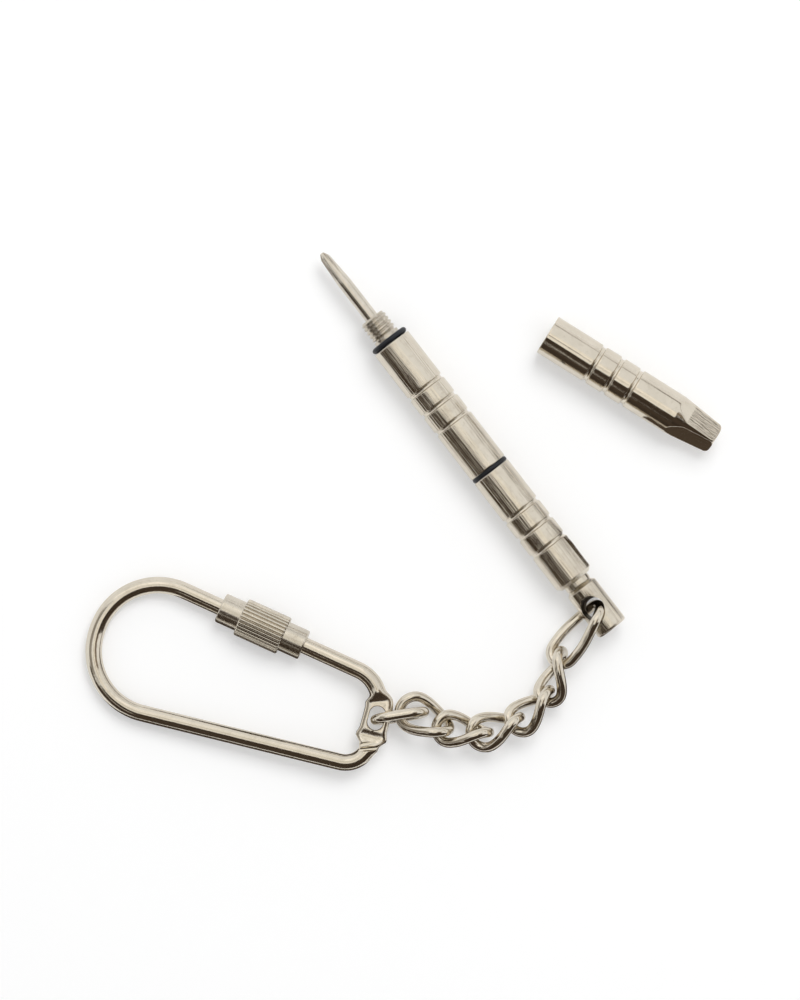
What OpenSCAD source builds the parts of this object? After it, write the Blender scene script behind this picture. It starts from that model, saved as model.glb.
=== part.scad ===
// Pocket screwdriver on a chain: a round barrel with a bit at each end, two screw-on caps,
// a swivelling tail, seven chain links and a key ring that a sleeve locks.
// X runs along the barrel towards the cross-head bit, Z is up from the table that it lies on,
// and the origin is on the barrel's axis at the rear end of the front thread.

/* [Barrel] */
// Outer diameter of the barrel and of both caps
barrel_d = 7.5; // [7:0.1:9]
// Length of the barrel tube
barrel_len = 28.2; // [24:0.2:40]
// Wall of the barrel tube
barrel_wall = 1.2; // [0.9:0.05:1.3]
// Chamfer on the open edges of the barrel and the caps
edge_chamfer = 0.2; // [0.1:0.05:0.3]

/* [Grooves] */
// Number of grooves round the barrel and round each cap
groove_count = 3; // [1:1:3]
// Width of a groove at the surface
groove_w = 0.9; // [0.6:0.05:1.2]
// Depth of a groove
groove_depth = 0.36; // [0.2:0.02:0.45]
// Distance from one groove to the next
groove_pitch = 3.92; // [3:0.02:4.5]
// Distance from the barrel's front end to its first groove
barrel_groove_at = 10; // [6:0.1:12]
// Distance from the rear cap's mouth to its first groove
rear_groove_at = 8.8; // [6:0.1:12]
// Distance from the front cap's mouth to its first groove
front_groove_at = 9.9; // [6:0.1:12]

/* [Threaded noses] */
// Outer diameter of the nose thread
thread_d = 5; // [4.4:0.1:5.2]
// Pitch of the nose thread
thread_pitch = 0.8; // [0.6:0.05:0.9]
// Length of the nose thread
thread_len = 3.7; // [3.2:0.1:5]
// Length of the undercut behind the thread
undercut_len = 0.3; // [0.3:0.05:0.6]
// Length of the plain collar that carries the sealing ring
collar_len = 1.75; // [1.5:0.05:2.5]
// Length of the stem that is pressed into the barrel
stem_len = 8; // [6:0.1:11]
// Radial clearance between a nose and the cap that screws onto it
thread_clear = 0.05; // [0.03:0.01:0.08]

/* [Sealing rings] */
// Thickness of a sealing ring
seal_d = 1.15; // [0.9:0.05:1.3]
// Width to which the middle ring is squeezed
seal_squeezed = 0.8; // [0.6:0.05:0.95]

/* [Bits] */
// Diameter of a bit's shank
bit_d = 2.5; // [2:0.1:3]
// Length of bit that stands out of its nose
bit_reach = 14.6; // [12:0.1:16]
// Length of bit that is pressed into its nose
bit_hold = 9; // [6:0.1:12]
// Length of the cross-head bit's point
point_len = 1.7; // [1.2:0.1:2.5]
// Diameter of the cross-head bit at its very end
point_d = 0.8; // [0.6:0.05:1.2]
// Length of each flute of the cross-head bit
flute_len = 5.6; // [4:0.1:7]
// Distance from the cross-head bit's axis to the bottom of a flute at the point
flute_core = 0.35; // [0.25:0.05:0.5]
// Turn of the cross-head bit about its axis, in degrees
cross_turn = 32; // [0:1:90]
// Thickness of the flat blade at its edge
blade_t = 0.5; // [0.3:0.05:0.8]
// Length of the flat blade's taper
blade_len = 5; // [3:0.1:7]

/* [Rear cap] */
// Length of the rear cap from its mouth to its neck
rear_len = 24.65; // [23.5:0.1:32]
// Chamfer at the rear cap's tail end
rear_chamfer = 0.7; // [0.3:0.05:1]
// Diameter of the neck
neck_d = 5; // [4:0.1:5.6]
// Length of the neck
neck_len = 1; // [0.6:0.1:2]
// Diameter of the room for a bit inside each cap
bit_room_d = 3.8; // [3.6:0.1:4.2]
// Free length in front of a bit's tip inside its cap
bit_spare = 0.6; // [0.3:0.1:1]

/* [Swivel tail] */
// Diameter of the tail
tail_d = 6; // [5.6:0.1:7]
// Length of the tail
tail_len = 9.75; // [9:0.05:14]
// Chamfer at the tail's front edge
tail_chamfer = 0.7; // [0.3:0.05:0.9]
// Rounding of the tail's rear edge
tail_round = 0.5; // [0.2:0.05:0.9]
// Diameter of the eye through the tail
eye_d = 4.2; // [4.1:0.05:4.4]
// Depth of the countersink at each mouth of the eye
eye_sink = 0.8; // [0.7:0.05:0.9]
// Distance from the tail's rear end to the middle of the eye
eye_at = 5.05; // [3.8:0.05:6]
// Diameter of the rivet on which the tail turns
rivet_d = 2; // [1.6:0.1:2.4]
// Diameter of the rivet's head
rivet_head_d = 3.2; // [2.8:0.1:3.4]
// Thickness of the rivet's head
rivet_head_t = 0.6; // [0.4:0.05:0.9]
// Depth to which the rivet is pressed into the tail
rivet_hold = 2.2; // [1.6:0.1:2.4]
// Clearance round the rivet and between the neck and the tail
swivel_clear = 0.05; // [0.03:0.01:0.09]

/* [Front cap] */
// Length of the front cap
cap_len = 35.3; // [34:0.1:44]
// Length of the four flats at the closed end
cap_flats_len = 8.4; // [6:0.1:10]
// Side of the square at the closed end
cap_square = 4; // [3.4:0.1:4.6]
// Width across the corners at the closed end
cap_corners = 5.7; // [5:0.1:6.2]
// Rounding of the closed end
cap_round = 0.9; // [0.4:0.05:1.2]
// Turn of the flats about the cap's axis, in degrees
cap_roll = 33; // [0:1:90]
// Distance along the barrel from the origin back to the cap's mouth
cap_back = 17.9; // [12:0.1:30]
// Distance across from the barrel's axis to the cap's mouth
cap_side = 23; // [20:0.1:40]
// Angle of the cap to the barrel, in degrees
cap_angle = 20; // [0:0.1:40]

/* [Chain] */
// Thickness of the chain's wire
wire_d = 1.85; // [1.6:0.05:1.9]
// Length of a chain link over all
link_len = 11.45; // [11.2:0.05:13]
// Width of a chain link over all
link_w = 6.6; // [6.4:0.05:7]
// Length of the first link over all
first_len = 14.7; // [14:0.1:16]
// Width of the first link where it goes through the tail
first_tail_w = 8.55; // [8.4:0.05:8.7]
// Width of the first link where the second one hangs in it
first_far_w = 6.6; // [6.4:0.05:6.9]
// Length of the last link over all
last_len = 10.75; // [10.5:0.05:12]
// Gap between two links where they bear on each other
link_gap = 0.15; // [0.1:0.01:0.25]

/* [Key ring] */
// Thickness of the key ring's wire
ring_wire_d = 3; // [2.6:0.1:3.2]
// Length of the side with the gate, corner to corner
gate_side = 52.2; // [48:0.1:60]
// Length of the side with the eyelet, corner to corner
eyelet_side = 15.7; // [15:0.1:17]
// Length of the bow's side, corner to corner
bow_side = 25.5; // [24.8:0.1:30]
// Angle between the gate's side and the eyelet's side, in degrees
eyelet_angle = 99.1; // [96:0.1:103]
// Angle between the gate's side and the bow's side, in degrees
bow_angle = 84.7; // [83:0.1:88]
// Bend radius between the gate's side and the eyelet
gate_bend = 6.4; // [5.6:0.1:6.8]
// Bend radius between the eyelet and the long side
eyelet_bend = 4.4; // [4:0.1:5]
// Bend radius of the bow
bow_bend = 11.4; // [10:0.1:11.6]
// Width of the opening that the sleeve covers
gate_gap = 6; // [4:0.1:7]
// Width of the flattened eyelet
pad_w = 5; // [4.8:0.1:5.6]
// Length of the flattened eyelet
pad_len = 8.4; // [8:0.1:9]
// Thickness of the flattened eyelet
pad_t = 1.8; // [1.4:0.1:2]
// Width of the slot in the eyelet
slot_w = 2.9; // [2.7:0.05:3]
// Length of the slot in the eyelet
slot_len = 5; // [4:0.1:5.4]
// Distance from the gate's corner to the middle of the slot
slot_at = 6.9; // [6.6:0.1:7.4]

/* [Lock sleeve] */
// Length of the sleeve
sleeve_len = 16.4; // [14:0.1:18]
// Diameter of the sleeve's knurled middle
sleeve_d = 7; // [6.2:0.1:8]
// Length of the knurled middle
knurl_len = 8.4; // [6:0.1:10]
// Diameter of the sleeve's plain ends
sleeve_end_d = 5.5; // [4.8:0.1:6]
// Number of ridges round the knurled middle
knurl_count = 30; // [20:1:36]
// Depth of the knurl
knurl_depth = 0.32; // [0.2:0.02:0.4]
// Distance from the gate's corner to the middle of the sleeve
sleeve_at = 24.3; // [23:0.1:26]
// Radial clearance of the sleeve on the wire
sleeve_clear = 0.06; // [0.03:0.01:0.09]

/* [Hidden] */
$fn = 96;

nickel = "#cfc8ba";
steel = "#b9b4aa";
black_rubber = "#202022";

// Places along the barrel
barrel_r = barrel_d / 2;
table_z = -barrel_r;
nose_seat = undercut_len + collar_len;
barrel_back = -nose_seat - barrel_len;
nose_len = nose_seat + thread_len;
nose_bore_len = nose_len + stem_len;
rear_mouth = barrel_back - seal_squeezed;
rear_end = rear_mouth - rear_len;
tail_front = rear_end - neck_len - swivel_clear;
eye_x = tail_front - tail_len + eye_at;
cap_bore_d = thread_d + 2 * thread_clear;
cap_bore_len = nose_len - seal_squeezed + bit_spare;
bit_room_len = nose_len + bit_reach + bit_spare;
// Loose fit of a sealing ring on its collar and its seat
seal_fit = 0.02;
// Length by which a cut runs past the face that it opens
overrun = 1;

// Thread form, as shares of the pitch
crest_share = 1 / 8;
root_share = 1 / 4;
thread_depth_share = 0.6;
blade_w_share = 0.98;

// Chain: heading of each link in degrees, its turn about its own length at both ends, and
// the share of the common width that it has
link_heading = [105.15, 125.9, 97.7, 75.5, 46.7, 27.3, 61.3];
link_roll_start = [71.7, 108.3, 99.3, 93.9, 91.6, 66.7, 98];
link_roll_end = [26, 16, 10.7, -10.6, -1.7, -4, 97.8];
link_width_share = [1, 0.99, 1.1, 1.1, 1.06, 1.2, 1.02];
// Slack between each link and the next, and the next one's offset across the link
link_slack = [0.37, 0.32, 0.4, 1.42, 0.4, 2.3];
link_offset = [-0.31, -0.02, -0.39, 0.32, 0.04, -0.8];
// Place of the first link in the eye: behind its middle, beside it and above the table
first_back = 0.23;
first_offset = 0.59;
first_rise = 0.22;
// Shares of the first link's length between which it twists
twist_from_share = 0.11;
twist_to_share = 0.9;
// Steps round each end and along each side of a link, and sides of its wire
arc_steps = 10;
side_steps = 8;
wire_sides = 10;

// Smooth step from 0 to 1
function ease(t) = t * t * (3 - 2 * t);
function unit(v) = v / norm(v);
function heading(v) = atan2(v.y, v.x);
function turned(length, angle) = length * [cos(angle), sin(angle)];

// Length and widths of a link's wire line, and the place where each link starts
last_link = len(link_heading) - 1;
function line_len(k) = (k == 0 ? first_len : k == last_link ? last_len : link_len) - wire_d;
function start_w(k) = (k == 0 ? first_tail_w : link_w * link_width_share[k]) - wire_d;
function end_w(k) = (k == 0 ? first_far_w : link_w * link_width_share[k]) - wire_d;
function link_step(k) = line_len(k) - wire_d - link_gap - link_slack[k];
function link_start(k) = k == 0
  ? [eye_x - first_back, -first_offset]
  : link_start(k - 1) + turned(link_step(k - 1), link_heading[k - 1])
    + turned(link_offset[k - 1], link_heading[k - 1] + 90);
function link_z(k) = table_z + (wire_d + start_w(k) * sin(link_roll_start[k])) / 2
  + (k == 0 ? first_rise : 0);

// Points of a flat link: distance along it, and half width with a sign
function link_outline(length, a, b) = concat(
  [for (i = [0 : arc_steps]) let (g = 90 + 180 * i / arc_steps) [a + a * cos(g), a * sin(g)]],
  [for (i = [1 : side_steps - 1]) let (t = i / side_steps)
    [a + (length - a - b) * t, -a + (a - b) * t]],
  [for (i = [0 : arc_steps]) let (g = -90 + 180 * i / arc_steps)
    [length - b + b * cos(g), b * sin(g)]],
  [for (i = [1 : side_steps - 1]) let (t = i / side_steps)
    [length - b + (a + b - length) * t, b + (a - b) * t]]
);

// A link twists from one end to the other, so that it hangs in its neighbours at right angles
function twist(k, t) = k > 0
  ? ease(t)
  : ease(min(1, max(0, (t - twist_from_share) / (twist_to_share - twist_from_share))));
function link_roll(k, t) = link_roll_start[k]
  + (link_roll_end[k] - link_roll_start[k]) * twist(k, t);
function link_place(k, p) = let (
    t = p[0] / line_len(k),
    roll = link_roll(k, t),
    next_z = k == last_link ? link_z(k) : link_z(k + 1),
    flat = link_start(k) + turned(p[0], link_heading[k]) + turned(p[1] * cos(roll), link_heading[k] + 90)
  ) [flat.x, flat.y, link_z(k) + (next_z - link_z(k)) * t + p[1] * sin(roll)];
function link_normal(k, p) = let (
    roll = link_roll(k, p[0] / line_len(k)),
    side = turned(-sin(roll), link_heading[k] + 90)
  ) [side.x, side.y, cos(roll)];

// One ring of points round the wire for each point of its line
function tube_points(line, normals, r, sides) = [
  for (i = [0 : len(line) - 1]) let (
      ahead = line[(i + 1) % len(line)] - line[(i + len(line) - 1) % len(line)],
      t = unit(ahead),
      e = unit(normals[i] - (normals[i] * t) * t),
      f = cross(t, e)
    ) for (j = [0 : sides - 1]) let (g = 360 * j / sides)
    line[i] + r * cos(g) * e + r * sin(g) * f
];
function tube_faces(rings, sides) = [
  for (i = [0 : rings - 1]) for (j = [0 : sides - 1]) let (
      a = i * sides + j,
      b = i * sides + (j + 1) % sides,
      c = ((i + 1) % rings) * sides + (j + 1) % sides,
      d = ((i + 1) % rings) * sides + j
    ) each [[a, c, b], [a, d, c]]
];

// Key ring: four corners with a bend at each, in the ring's own plane
ring_corner = [
  [0, 0],
  [gate_side, 0],
  [gate_side, 0] + turned(bow_side, 180 - bow_angle),
  turned(eyelet_side, eyelet_angle)
];
ring_bend = [gate_bend, bow_bend, bow_bend, eyelet_bend];
// Bending draws the wire thinner by this much, and a straight bar reaches this far into a bend
bend_thinning = 0.02;
bar_reach = 0.2;
ring_heading = 27.8;
function side_way(i) = unit(ring_corner[(i + 1) % 4] - ring_corner[i]);
function way_in(i) = side_way((i + 3) % 4);
function bend_turn(i) = (heading(side_way(i)) - heading(way_in(i)) + 360) % 360;
function bend_tangent(i) = ring_bend[i] * tan(bend_turn(i) / 2);
function bend_from(i) = ring_corner[i] - way_in(i) * bend_tangent(i);
function bend_to(i) = ring_corner[i] + side_way(i) * bend_tangent(i);
function bend_middle(i) = bend_from(i) + ring_bend[i] * [-way_in(i).y, way_in(i).x];
gate_gap_end = sleeve_at + sleeve_len / 2 - ring_wire_d / 2;
gate_gap_start = gate_gap_end - gate_gap;

// The eyelet hangs at half the height of the last link, and the ring leans from there to the table
slot_offset = -0.15;
ring_wire_r = ring_wire_d / 2;
slot_middle = turned(slot_at, eyelet_angle);
pad_z = link_z(last_link);
ring_lean = asin((pad_z - table_z - ring_wire_r) / (gate_side - slot_middle.x));
ring_hang = link_start(last_link) + turned(line_len(last_link) + slot_offset, link_heading[last_link]);

// Turns a profile of radius and distance about the barrel's axis
module turned_part() {
  rotate([0, 90, 0]) rotate_extrude() children();
}

// Cuts for a row of grooves, from a mouth at zero backwards
module groove_cuts(first) {
  groove_r = groove_w * groove_w / (8 * groove_depth) + groove_depth / 2;
  for (i = [0 : groove_count - 1])
    translate([barrel_r - groove_depth + groove_r, -first - i * groove_pitch])
      circle(r = groove_r);
}

// Cut that rounds the rear outer corner of a turned profile
module round_off(corner, r) {
  translate([corner.x - r, corner.y + r]) mirror([0, 1]) difference() {
    square(r + overrun);
    circle(r = r);
  }
}

// Nose with an annular thread: thread towards +X, stem towards -X
module nose() {
  crest_r = thread_d / 2;
  root_r = crest_r - thread_pitch * thread_depth_share;
  flank = thread_pitch * (1 - crest_share - root_share) / 2;
  crest_len = crest_share * thread_pitch;
  ridges = 1 + floor((thread_len - crest_len - flank) / thread_pitch);
  stem_r = barrel_r - barrel_wall;
  difference() {
    turned_part() polygon(concat(
      [[0, -nose_seat - stem_len], [stem_r, -nose_seat - stem_len], [stem_r, -nose_seat],
       [crest_r, -nose_seat], [crest_r, -undercut_len], [root_r, -undercut_len]],
      [for (i = [0 : ridges - 1]) each [
        [root_r, i * thread_pitch - flank],
        [crest_r, i * thread_pitch],
        [crest_r, i * thread_pitch + crest_len],
        [root_r, i * thread_pitch + crest_len + flank]
      ]],
      [[root_r, thread_len], [0, thread_len]]
    ));
    rotate([0, 90, 0]) translate([0, 0, thread_len - bit_hold])
      cylinder(d = bit_d, h = bit_hold + overrun);
  }
}

module centre_barrel() {
  color(nickel) translate([-nose_seat, 0, 0]) turned_part() difference() {
    polygon([
      [barrel_r - barrel_wall, 0], [barrel_r - edge_chamfer, 0], [barrel_r, -edge_chamfer],
      [barrel_r, edge_chamfer - barrel_len], [barrel_r - edge_chamfer, -barrel_len],
      [barrel_r - barrel_wall, -barrel_len]
    ]);
    groove_cuts(barrel_groove_at);
  }
}

module front_nose() {
  color(steel) nose();
}

module at_rear_nose() {
  translate([barrel_back - nose_seat, 0, 0]) mirror([1, 0, 0]) children();
}

module rear_nose() {
  color(steel) at_rear_nose() nose();
}

// Cross-head bit: a shank with a pointed end, and four flutes that leave a cross
module cross_bit() {
  tip_x = thread_len + bit_reach;
  slope = atan2(bit_d / 2 - flute_core, flute_len);
  color(steel) difference() {
    turned_part() polygon([
      [0, thread_len - bit_hold], [bit_d / 2, thread_len - bit_hold],
      [bit_d / 2, tip_x - point_len], [point_d / 2, tip_x], [0, tip_x]
    ]);
    for (a = [0 : 90 : 270]) rotate([cross_turn + a, 0, 0])
      translate([tip_x, 0, flute_core]) rotate([0, slope, 0]) rotate([45, 0, 0])
        translate([-2 * flute_len, 0, 0]) cube([2 * flute_len + overrun, bit_d, bit_d]);
  }
}

// Flat bit: the same shank, with two flats that meet at a thin blade
module flat_bit() {
  tip_x = thread_len + bit_reach;
  slope = atan2((bit_d - blade_t) / 2, blade_len);
  color(steel) at_rear_nose() difference() {
    turned_part() polygon([
      [0, thread_len - bit_hold], [bit_d / 2, thread_len - bit_hold],
      [bit_d / 2, tip_x - blade_len], [bit_d / 2 * blade_w_share, tip_x], [0, tip_x]
    ]);
    for (a = [0, 180]) rotate([a, 0, 0])
      translate([tip_x, 0, blade_t / 2]) rotate([0, slope, 0])
        translate([-2 * blade_len, -bit_d, 0]) cube([2 * blade_len + bit_d, 2 * bit_d, bit_d]);
  }
}

module front_seal() {
  color(black_rubber) turned_part()
    translate([(thread_d + seal_d) / 2 + seal_fit, -nose_seat + seal_d / 2 + seal_fit])
      circle(d = seal_d);
}

module middle_seal() {
  color(black_rubber) turned_part() intersection() {
    translate([(thread_d + seal_d) / 2 + seal_fit, barrel_back - seal_squeezed / 2])
      circle(d = seal_d);
    translate([0, barrel_back - seal_squeezed + seal_fit])
      square([barrel_d, seal_squeezed - 2 * seal_fit]);
  }
}

// Rear cap: screws onto the rear nose and covers the flat bit
module rear_cap() {
  room_end = seal_squeezed - bit_room_len - rivet_head_t - swivel_clear;
  room_r = bit_room_d / 2;
  rivet_r = rivet_d / 2 + swivel_clear;
  color(nickel) translate([rear_mouth, 0, 0]) turned_part() difference() {
    polygon([
      [cap_bore_d / 2, 0], [barrel_r - edge_chamfer, 0], [barrel_r, -edge_chamfer],
      [barrel_r, rear_chamfer - rear_len], [barrel_r - rear_chamfer, -rear_len],
      [neck_d / 2, -rear_len], [neck_d / 2, -rear_len - neck_len],
      [rivet_r, -rear_len - neck_len], [rivet_r, room_end], [room_r, room_end],
      [room_r, -cap_bore_len], [cap_bore_d / 2, -cap_bore_len]
    ]);
    groove_cuts(rear_groove_at);
  }
}

// Tail that turns on the rivet, with a countersunk eye for the first link
module swivel_tail() {
  tail_r = tail_d / 2;
  eye_r = eye_d / 2;
  sink_z = tail_r * cos(asin(eye_r / tail_r)) - eye_sink;
  color(nickel) difference() {
    translate([tail_front, 0, 0]) turned_part() difference() {
      polygon([
        [0, 0], [tail_r - tail_chamfer, 0], [tail_r, -tail_chamfer], [tail_r, -tail_len],
        [0, -tail_len]
      ]);
      round_off([tail_r, -tail_len], tail_round);
      translate([0, -rivet_hold]) square([rivet_d / 2, rivet_hold + overrun]);
    }
    translate([eye_x, 0, -tail_r]) cylinder(d = eye_d, h = tail_d);
    for (s = [0, 180]) translate([eye_x, 0, 0]) rotate([s, 0, 0]) translate([0, 0, sink_z])
      cylinder(r1 = eye_r, r2 = eye_r + tail_r - sink_z, h = tail_r - sink_z);
  }
}

module swivel_rivet() {
  head_x = rear_mouth + seal_squeezed - bit_room_len - rivet_head_t;
  color(steel) turned_part() polygon([
    [0, tail_front - rivet_hold], [rivet_d / 2, tail_front - rivet_hold],
    [rivet_d / 2, head_x], [rivet_head_d / 2, head_x],
    [rivet_head_d / 2, head_x + rivet_head_t], [0, head_x + rivet_head_t]
  ]);
}

module chain_link(k) {
  outline = link_outline(line_len(k), start_w(k) / 2, end_w(k) / 2);
  color(nickel) polyhedron(
    points = tube_points(
      [for (p = outline) link_place(k, p)], [for (p = outline) link_normal(k, p)],
      wire_d / 2, wire_sides),
    faces = tube_faces(len(outline), wire_sides)
  );
}

// Moves a shape from the key ring's own plane to where the ring lies
module in_ring() {
  translate([ring_hang.x, ring_hang.y, pad_z]) rotate([0, 0, ring_heading])
    rotate([0, ring_lean, 0]) translate([-slot_middle.x, -slot_middle.y, 0]) children();
}

module ring_bar(from, to) {
  translate([from.x, from.y, 0]) rotate([0, 90, heading(to - from)])
    translate([0, 0, -bar_reach]) cylinder(d = ring_wire_d, h = norm(to - from) + 2 * bar_reach);
}

module ring_bend_at(i) {
  start = bend_from(i) - bend_middle(i);
  translate([bend_middle(i).x, bend_middle(i).y, 0]) rotate([0, 0, heading(start)])
    rotate_extrude(angle = bend_turn(i)) translate([ring_bend[i], 0])
      circle(r = ring_wire_r - bend_thinning);
}

// Flattened eyelet with a slot for the last link
module at_eyelet() {
  translate([slot_middle.x, slot_middle.y, 0]) rotate([0, 0, eyelet_angle]) children();
}

module eyelet_pad() {
  at_eyelet() translate([0, 0, -pad_t / 2]) linear_extrude(pad_t) intersection() {
    square([pad_len, pad_w], center = true);
    circle(d = pad_len + pad_w / 4);
  }
}

// Cuts that press the wire flat, above and below the eyelet
module eyelet_flats() {
  at_eyelet() for (s = [0, 180]) rotate([90 + s, 0, 0])
    linear_extrude(2 * pad_w, center = true) polygon([
      [-pad_len / 2, pad_t / 2], [pad_len / 2, pad_t / 2],
      [pad_len / 2 + pad_t, ring_wire_d], [-pad_len / 2 - pad_t, ring_wire_d]
    ]);
}

module eyelet_slot() {
  at_eyelet() translate([0, 0, -ring_wire_d]) {
    for (s = [-1, 1]) translate([s * (slot_len - slot_w) / 2, 0, 0])
      cylinder(d = slot_w, h = 2 * ring_wire_d);
    translate([(slot_w - slot_len) / 2, -slot_w / 2, 0])
      cube([slot_len - slot_w, slot_w, 2 * ring_wire_d]);
  }
}

module key_ring() {
  color(nickel) in_ring() difference() {
    union() {
      for (i = [0 : 3]) ring_bend_at(i);
      ring_bar(bend_to(0), [gate_gap_start, 0]);
      ring_bar([gate_gap_end, 0], bend_from(1));
      ring_bar(bend_to(1), bend_from(2));
      ring_bar(bend_to(2), bend_from(3));
      ring_bar(bend_to(3), bend_from(0));
      eyelet_pad();
    }
    eyelet_slot();
    eyelet_flats();
  }
}

// Sleeve that covers the ring's opening, knurled round its middle
module lock_sleeve() {
  end_len = (sleeve_len - knurl_len) / 2;
  ridge_angle = 360 / knurl_count;
  cut_w = PI * sleeve_d / knurl_count / 2;
  color(steel) in_ring() translate([sleeve_at - sleeve_len / 2, 0, 0]) rotate([0, 90, 0])
    difference() {
      union() {
        cylinder(d = sleeve_end_d, h = sleeve_len);
        translate([0, 0, end_len]) cylinder(d = sleeve_d, h = knurl_len);
      }
      translate([0, 0, -overrun])
        cylinder(r = ring_wire_r + sleeve_clear, h = sleeve_len + 2 * overrun);
      for (i = [0 : knurl_count - 1]) rotate([0, 0, i * ridge_angle])
        translate([0, 0, end_len - overrun]) linear_extrude(knurl_len + 2 * overrun) polygon([
          [sleeve_d / 2 - knurl_depth, 0],
          [sleeve_d / 2 + knurl_depth, cut_w], [sleeve_d / 2 + knurl_depth, -cut_w]
        ]);
    }
}

// Front cap: lies beside the barrel, mouth first, with four flats at its closed end
module front_cap() {
  room_r = bit_room_d / 2;
  corner_r = cap_corners / 2;
  flat_slope = atan2(barrel_r - cap_square / 2, cap_flats_len);
  color(nickel) translate([-cap_back, -cap_side, 0]) rotate([0, 0, cap_angle])
    rotate([cap_roll, 0, 0]) difference() {
      turned_part() difference() {
        polygon([
          [0, 0], [barrel_r - edge_chamfer, 0], [barrel_r, -edge_chamfer],
          [barrel_r, cap_flats_len - cap_len], [corner_r, cap_round - cap_len],
          [corner_r, -cap_len], [0, -cap_len]
        ]);
        round_off([corner_r, -cap_len], cap_round);
        translate([0, -cap_bore_len]) square([cap_bore_d / 2, cap_bore_len + overrun]);
        translate([0, -bit_room_len]) square([room_r, bit_room_len]);
        groove_cuts(front_groove_at);
      }
      for (a = [0 : 90 : 270]) rotate([a, 0, 0])
        translate([-cap_len, 0, cap_square / 2]) rotate([0, -flat_slope, 0])
          translate([-cap_flats_len, -barrel_d, 0])
            cube([3 * cap_flats_len, 2 * barrel_d, barrel_d]);
    }
}

centre_barrel();
front_nose();
rear_nose();
cross_bit();
flat_bit();
front_seal();
middle_seal();
rear_cap();
swivel_tail();
swivel_rivet();
chain_link(0);  // chain_link_1
chain_link(1);  // chain_link_2
chain_link(2);  // chain_link_3
chain_link(3);  // chain_link_4
chain_link(4);  // chain_link_5
chain_link(5);  // chain_link_6
chain_link(6);  // chain_link_7
key_ring();
lock_sleeve();
front_cap();
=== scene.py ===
"""Looks of the pocket screwdriver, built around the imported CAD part.

Lengths in the tables below are in millimetres, in the row frame; meshes are made in metres.
"""
import math

import bmesh
import bpy
import numpy as np
from mathutils import Matrix, Vector


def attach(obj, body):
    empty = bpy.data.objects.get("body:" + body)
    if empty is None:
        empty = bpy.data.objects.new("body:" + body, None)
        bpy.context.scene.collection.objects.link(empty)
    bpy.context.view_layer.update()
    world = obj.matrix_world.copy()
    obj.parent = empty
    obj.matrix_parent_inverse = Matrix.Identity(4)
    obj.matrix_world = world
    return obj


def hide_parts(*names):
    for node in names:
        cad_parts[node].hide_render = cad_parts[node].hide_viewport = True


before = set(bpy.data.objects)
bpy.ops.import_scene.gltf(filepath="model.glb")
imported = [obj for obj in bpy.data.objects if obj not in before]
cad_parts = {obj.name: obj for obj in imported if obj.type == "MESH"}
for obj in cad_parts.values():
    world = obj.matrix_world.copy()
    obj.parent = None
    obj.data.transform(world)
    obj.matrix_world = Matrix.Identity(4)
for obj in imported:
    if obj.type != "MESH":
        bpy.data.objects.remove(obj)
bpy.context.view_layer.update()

MM = 0.001
TAU = 2 * math.pi
FLOOR_Z = -3.75

# Barrel, noses and rings
BARREL_R = 3.75
BARREL_LEN = 28.2
BARREL_BORE_R = 2.55
NOSE_SEAT = 2.05
GROOVE_W, GROOVE_DEPTH, GROOVE_PITCH = 0.9, 0.36, 3.92
GROOVE_COUNT, BARREL_GROOVE_AT, REAR_GROOVE_AT, CAP_GROOVE_AT = 3, 10, 8.8, 9.9
THREAD_R, THREAD_PITCH, THREAD_LEN, THREAD_CUT = 2.5, 0.8, 3.7, 0.3
STEM_LEN = 8.0
SEAL_R, SEAL_LINE_R = 0.575, 3.095
# Bits
BIT_R, BIT_REACH, BIT_HOLD = 1.25, 14.6, 9.0
CROSS_TURN = 32
TIP_X = THREAD_LEN + BIT_REACH
# Rear cap and tail
BARREL_BACK = -NOSE_SEAT - BARREL_LEN
SQUEEZED = 0.8
REAR_MOUTH = BARREL_BACK - SQUEEZED
REAR_LEN, REAR_CHAMFER, NECK_R, NECK_LEN = 24.65, 0.7, 2.5, 1.0
CAP_BORE_R, CAP_BORE_LEN, ROOM_R, ROOM_LEN = 2.55, 5.55, 1.9, 20.95
HEAD_T, SWIVEL_GAP = 0.6, 0.05
TAIL_FRONT = REAR_MOUTH - REAR_LEN - NECK_LEN - SWIVEL_GAP
TAIL_R, TAIL_LEN, TAIL_CHAMFER, TAIL_ROUND = 3.0, 9.75, 0.7, 0.5
EYE_R, LOW_EYE_R, EYE_SINK, EYE_LEAN = 2.1, 1.85, 0.8, 16.0
EYE_AT = 5.05
EYE_X = TAIL_FRONT - TAIL_LEN + EYE_AT
LOW_EYE_BACK = 0.35
RIVET_R, RIVET_HOLD, RIVET_HEAD_R = 1.0, 2.2, 1.6
# Front cap
CAP_LEN, CAP_FLATS, CAP_SQUARE, CAP_CORNER_R, CAP_ROUND = 35.3, 8.4, 4.0, 2.85, 0.9
CAP_SHOULDER, CAP_PRESSED, CAP_RUNOUT = 2.75, 6.0, 8.6
CAP_ROLL, CAP_AT, CAP_ANGLE = 33.0, (-17.9, -23.0), 20.0


def mesh_object(name, verts, faces):
    mesh = bpy.data.meshes.new(name)
    mesh.from_pydata([tuple(float(c) * MM for c in v) for v in verts], [], faces)
    mesh.validate()
    bm = bmesh.new()
    bm.from_mesh(mesh)
    bmesh.ops.remove_doubles(bm, verts=bm.verts, dist=1e-7)
    bmesh.ops.recalc_face_normals(bm, faces=bm.faces)
    bm.to_mesh(mesh)
    bm.free()
    for p in mesh.polygons:
        p.use_smooth = True
    obj = bpy.data.objects.new(name, mesh)
    bpy.context.scene.collection.objects.link(obj)
    return obj


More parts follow.
